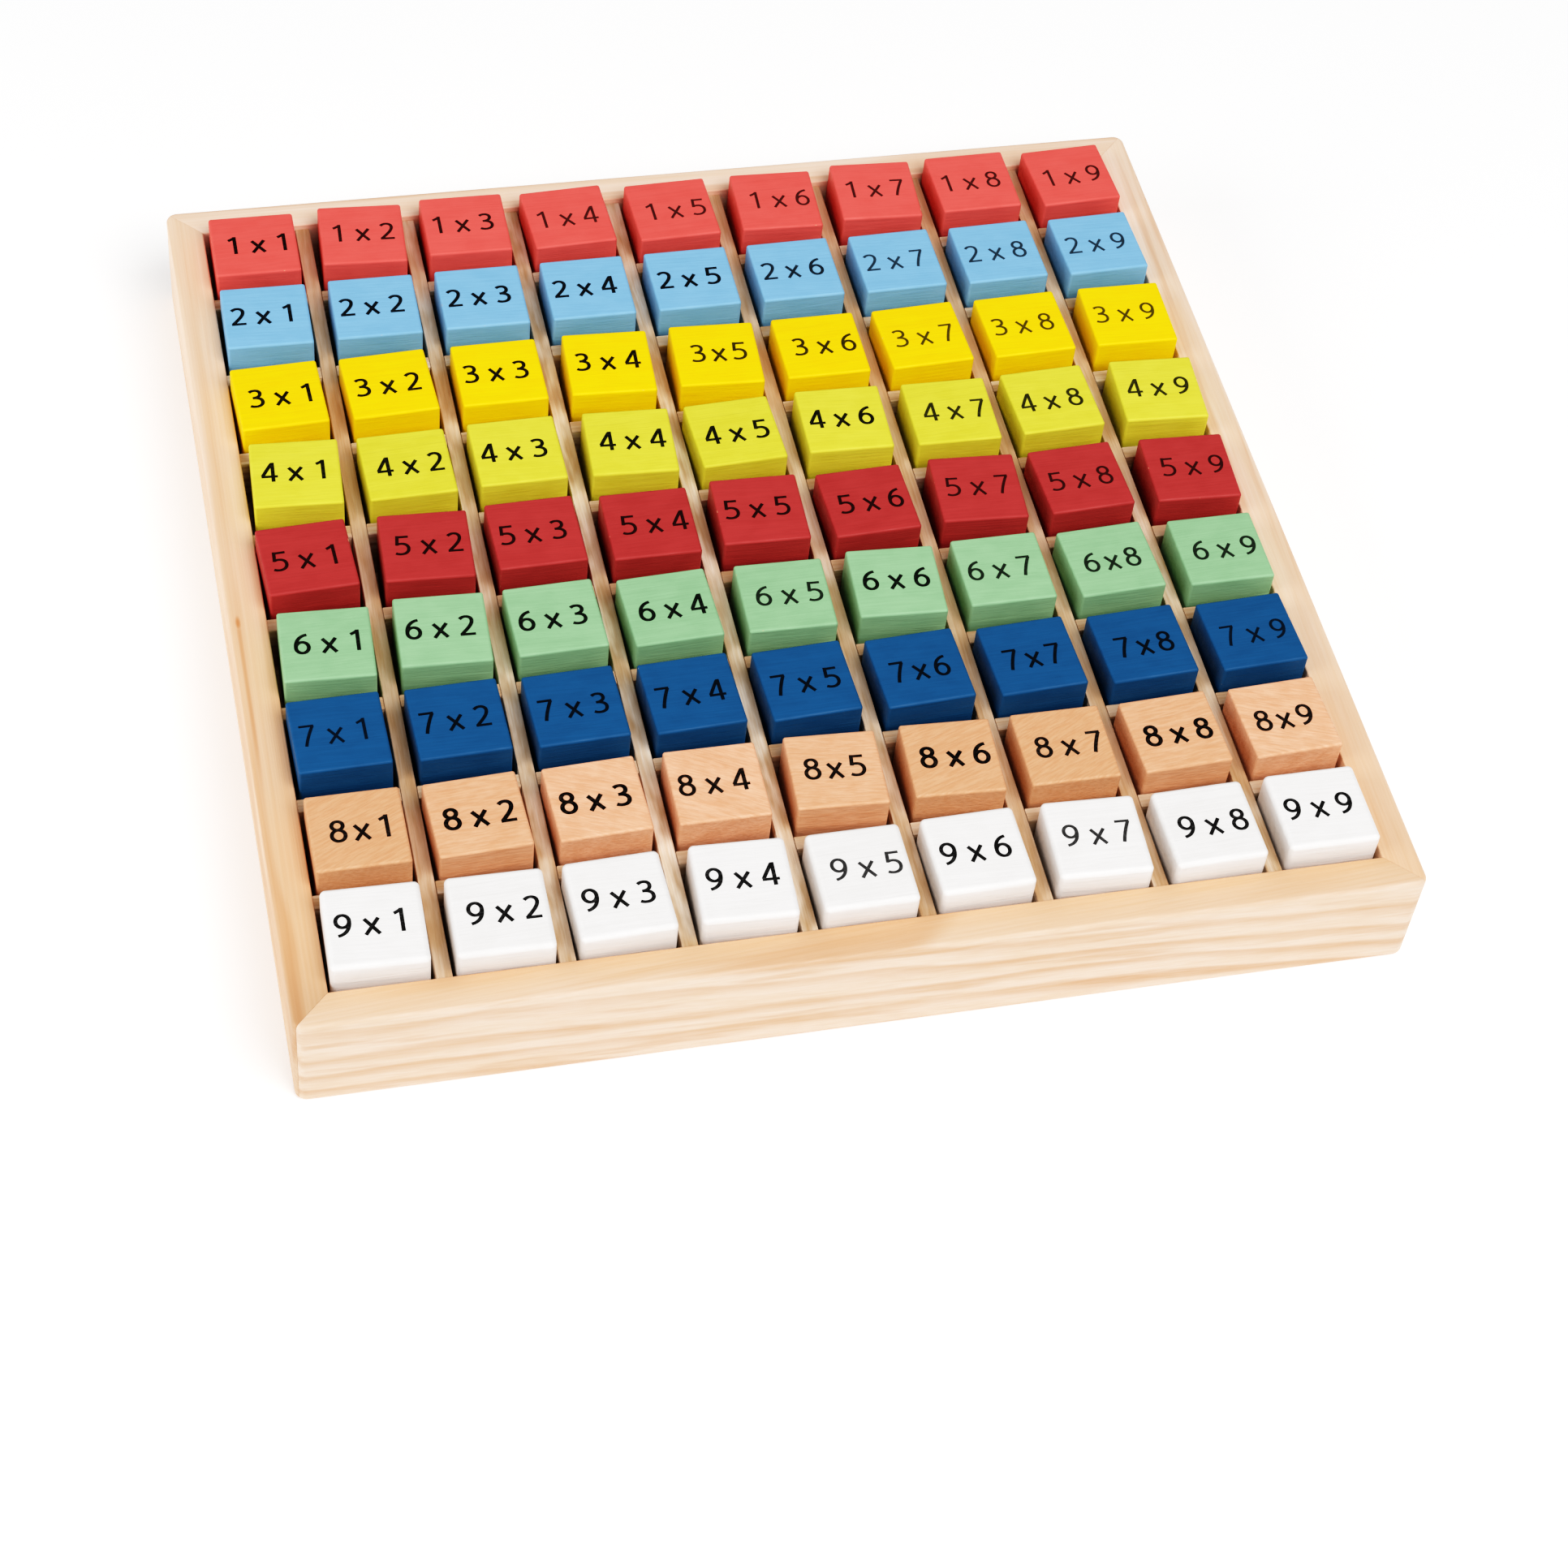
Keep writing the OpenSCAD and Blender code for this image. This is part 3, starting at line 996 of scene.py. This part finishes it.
def numeralPaths(n):
    # middle lines of a numeral's strokes, in a box 0.6 wide and 1 high
    if n == 1:
        return [curve((0.36, 0), (0.36, 0.3), (0.36, 0.7), (0.36, 1)),
                curve((0.37, 0.95), (0.29, 0.89), (0.21, 0.84), (0.12, 0.80))]
    if n == 2:
        return [curve((0.07, 0.83), (0.13, 0.90), (0.20, 0.94), (0.28, 0.94), (0.41, 0.94), (0.49, 0.85),
                      (0.49, 0.73), (0.49, 0.52), (0.29, 0.32), (0.09, 0.08)),
                curve((0.03, 0.06), (0.2, 0.06), (0.4, 0.06), (0.57, 0.06))]
    if n == 3:
        return [curve((0.07, 0.87), (0.13, 0.92), (0.19, 0.94), (0.26, 0.94), (0.39, 0.94), (0.46, 0.86),
                      (0.46, 0.755), (0.46, 0.63), (0.36, 0.54), (0.17, 0.54)),
                curve((0.17, 0.54), (0.39, 0.54), (0.51, 0.45), (0.51, 0.30), (0.51, 0.15), (0.40, 0.06),
                      (0.25, 0.06), (0.16, 0.06), (0.10, 0.08), (0.04, 0.12))]
    if n == 4:
        return [curve((0.43, 0), (0.43, 0.3), (0.43, 0.7), (0.43, 1)),
                curve((0.40, 0.95), (0.29, 0.76), (0.17, 0.54), (0.05, 0.30)),
                curve((0.01, 0.27), (0.2, 0.27), (0.4, 0.27), (0.60, 0.27))]
    if n == 5:
        return [curve((0.11, 0.94), (0.25, 0.94), (0.4, 0.94), (0.54, 0.94)),
                curve((0.15, 1.0), (0.14, 0.84), (0.125, 0.68), (0.11, 0.52)),
                curve((0.09, 0.56), (0.15, 0.59), (0.20, 0.595), (0.26, 0.595), (0.42, 0.595), (0.52, 0.49),
                      (0.52, 0.34), (0.52, 0.17), (0.40, 0.06), (0.24, 0.06), (0.16, 0.06), (0.10, 0.08),
                      (0.04, 0.12))]
    if n == 6:
        return [ring(0.30, 0.325, 0.225, 0.265),
                curve((0.075, 0.34), (0.07, 0.66), (0.22, 0.90), (0.49, 0.94))]
    if n == 7:
        return [curve((0.04, 0.94), (0.2, 0.94), (0.4, 0.94), (0.55, 0.94)),
                curve((0.515, 0.93), (0.42, 0.72), (0.27, 0.36), (0.20, 0.0))]
    if n == 8:
        return [ring(0.30, 0.75, 0.19, 0.19), ring(0.30, 0.305, 0.23, 0.245)]
    return [np.array(printed["digitBox"]) - path for path in numeralPaths(6)]  # a six upside down


def crossPaths():
    return [curve((0, 0), (1 / 3, 1 / 3), (2 / 3, 2 / 3), (1, 1)),
            curve((1, 0), (2 / 3, 1 / 3), (1 / 3, 2 / 3), (0, 1))]


def band(path, weight):
    # a stroke is its middle line with a width across it that grows as the stroke turns upright
    isRing = np.allclose(path[0], path[-1])
    step = np.gradient(path, axis=0)
    if isRing:
        step[0] = step[-1] = path[1] - path[-2]
    step /= np.linalg.norm(step, axis=1, keepdims=True)
    half = weight / 2 * (printed["thin"] + (printed["thick"] - printed["thin"]) * np.abs(step[:, 1:]))
    across = np.column_stack([-step[:, 1], step[:, 0]]) * half
    return np.stack([path + across, path - across], 1).reshape(-1, 2)


def fillGlyph(bands):
    # the union of all strokes as triangles
    quads, start = [], 0
    for points in bands:
        first = start + 2 * np.arange(len(points) // 2 - 1)
        quads += np.column_stack([first, first + 1, first + 3, first + 2]).tolist()
        start += len(points)
    flat = [Vector(point) for point in np.concatenate(bands).tolist()]
    points, _, faces, _, _, sources = delaunay_2d_cdt(flat, [], quads, 0, printed["weldWithin"])
    inside = [face for face, source in zip(faces, sources) if source]
    return np.array([tuple(point) for point in points]), np.array(inside)


def makeGlyph(paths, kind, weight):
    boxWidth, boxHeight = printed[kind + "Box"]
    scale = np.array([printed[kind + "Width"] / boxWidth, printed[kind + "Height"] / boxHeight])
    return fillGlyph([band(path * scale, weight) for path in paths])


def thinSolid(points, triangles, low, high):
    # the filled outline as a top and a bottom, with a wall along every edge used once
    count = len(points)
    edges = np.concatenate([triangles[:, [0, 1]], triangles[:, [1, 2]], triangles[:, [2, 0]]])
    codes = edges[:, 0] * count + edges[:, 1]
    rim = edges[~np.isin(codes, edges[:, 1] * count + edges[:, 0])]
    top = np.column_stack([points, np.full(count, high)])
    bottom = np.column_stack([points, np.full(count, low)])
    walls = np.column_stack([rim[:, 0] + count, rim[:, 1] + count, rim[:, 1], rim[:, 0]])
    return np.concatenate([top, bottom]), [*triangles.tolist(), *(triangles[:, ::-1] + count).tolist(),
                                           *walls.tolist()]


def makeGlyphs(weight):
    # the nine numerals and the cross in one weight of stroke
    glyphs = {n: makeGlyph(numeralPaths(n), "digit", weight) for n in factors}
    glyphs["x"] = makeGlyph(crossPaths(), "cross", weight)
    return glyphs


glyphSets = {name: makeGlyphs(weight) for name, (weight, _) in printed["weights"].items()}


def sumWeight(row, column):
    # the printing plate gave less ink at the back right, and less shows on the dark rows
    lastRow, firstColumn = printed["lightCorner"]
    inCorner = row <= lastRow and column >= firstColumn
    if (row, column) in printed["boldSums"]:
        return "bold"
    if (row, column) in printed["faintSums"]:
        return "faint"
    if (row, column) in printed["lightSums"] or row in printed["lightRows"] or inCorner:
        return "light"
    return "plain"


def makeSumRow(row):
    # each sum is two numerals and a cross side by side, centred on its block and then shifted a little
    points, faces, faint, start = [], [], [], 0
    for column in factors:
        weight = sumWeight(row, column)
        glyphs = glyphSets[weight]
        gap = printed["tightGap" if (row, column) in printed["tightSums"] else "letterGap"]
        crossX = printed["digitWidth"] + gap
        lastX = crossX + printed["crossWidth"] + gap
        offset = np.array([(lastX + printed["digitWidth"]) / 2, printed["digitHeight"] / 2])
        shift = [room * scatter(row, column, seed) for room, seed in zip(printed["shift"], (4, 5))]
        middle, turn = blockPlace(row, column)
        for (outline, triangles), x in ((glyphs[row], 0), (glyphs["x"], crossX), (glyphs[column], lastX)):
            flat = (outline + [x, 0] - offset + shift) * mm
            solid, solidFaces = thinSolid(flat, triangles, blockTop, blockTop + printed["film"])
            points.append(turned(solid, turn) + middle)
            faces += [[index + start for index in face] for face in solidFaces]
            faint.append(np.full(len(solid), printed["weights"][weight][1]))
            start += len(solid)
    finish = rowFinish[row - 1][0]
    under = bareLook["early"] if finish == "bare" else paintLook["paints"][finish][0]
    values = {"faint": np.concatenate(faint), "under": np.tile(under[:3], (start, 1))}
    makePiece(f"row{row}Sums", np.concatenate(points), faces, values, blackInk,
              [f"row_{row}_sums"])


for row in factors:
    makeSumRow(row)
print("sums printed")

# base panel keeps its solid

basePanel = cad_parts["base_panel"]
basePanel.data.materials.clear()
basePanel.data.materials.append(panelPly)
